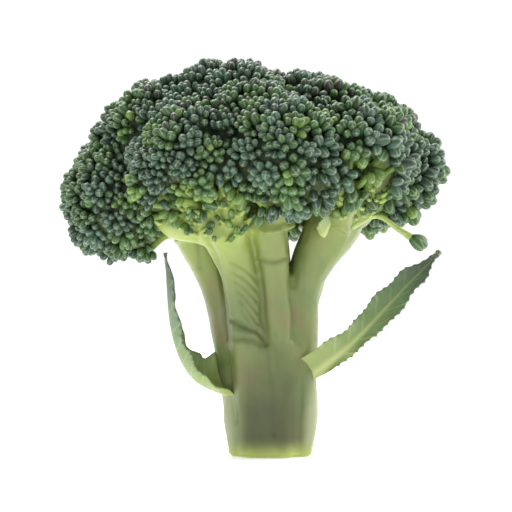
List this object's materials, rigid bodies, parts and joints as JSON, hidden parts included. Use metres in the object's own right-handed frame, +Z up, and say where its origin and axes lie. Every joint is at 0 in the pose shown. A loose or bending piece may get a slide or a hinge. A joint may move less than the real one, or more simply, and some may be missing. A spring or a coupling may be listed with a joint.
{
  "type": "broccoli head",
  "caption": "Fresh broccoli head with a domed crown of tight dark green buds on a thick branching stalk with small leaves, cut flat across the bottom to stand on.",
  "frame": {"origin": "centre of the flat cut end of the stalk, which the head stands on", "axes": "+Z up along the stalk from the cut end to the crown, +X to the right along the crown's width, -Y towards the front"},
  "size_m": [0.1239, 0.109, 0.1284],
  "materials": {
    "stalk": "matte waxy skin, pale yellow-green with darker grooves",
    "buds": "matte dark blue-green buds with a grey waxy bloom",
    "leaf": "satin grey-green leaf with a paler midrib"
  },
  "bodies": {
    "root": {"stalk": "stalk", "floret_left": "buds", "floret_front_left": "buds", "floret_front": "buds", "floret_front_right": "buds", "floret_right": "buds", "floret_back_right": "buds", "floret_back": "buds", "floret_back_left": "buds", "floret_left_back": "buds", "floret_top_left": "buds", "floret_top_left_back": "buds", "floret_top": "buds", "floret_top_right": "buds", "floret_upper_right": "buds", "floret_upper_front": "buds", "floret_upper_back": "buds", "leaf_left": "leaf", "leaf_right": "leaf", "bract_right": "leaf", "sprig_right": "buds"}
  },
  "joints": []
}
